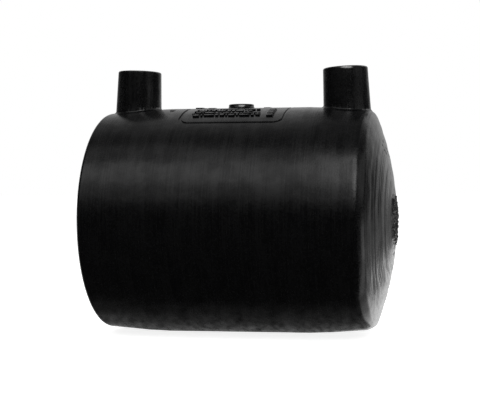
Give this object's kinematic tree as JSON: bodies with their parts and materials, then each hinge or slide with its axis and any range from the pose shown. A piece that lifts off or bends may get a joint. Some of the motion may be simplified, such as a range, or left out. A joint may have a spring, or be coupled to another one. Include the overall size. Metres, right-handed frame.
{
  "type": "electrofusion end cap",
  "caption": "Black polyethylene end cap for 63 mm pipe, with a heating coil in its socket and two shrouded electrical terminals.",
  "frame": {"origin": "centre of the open mouth, on its face", "axes": "+X along the pipe's axis towards the closed end, +Z towards the terminals"},
  "size_m": [0.1036, 0.08, 0.094],
  "materials": {
    "polyethylene": "moulded, half gloss",
    "resistance_wire": "drawn copper alloy wire",
    "terminal_brass": "turned",
    "indicator_plastic": "moulded"
  },
  "bodies": {
    "root": {"body": "polyethylene", "heating_coil": "resistance_wire", "terminal_pin_mouth": "terminal_brass", "terminal_pin_closed": "terminal_brass", "fusion_indicator_mouth": "indicator_plastic", "fusion_indicator_closed": "indicator_plastic"}
  },
  "joints": []
}
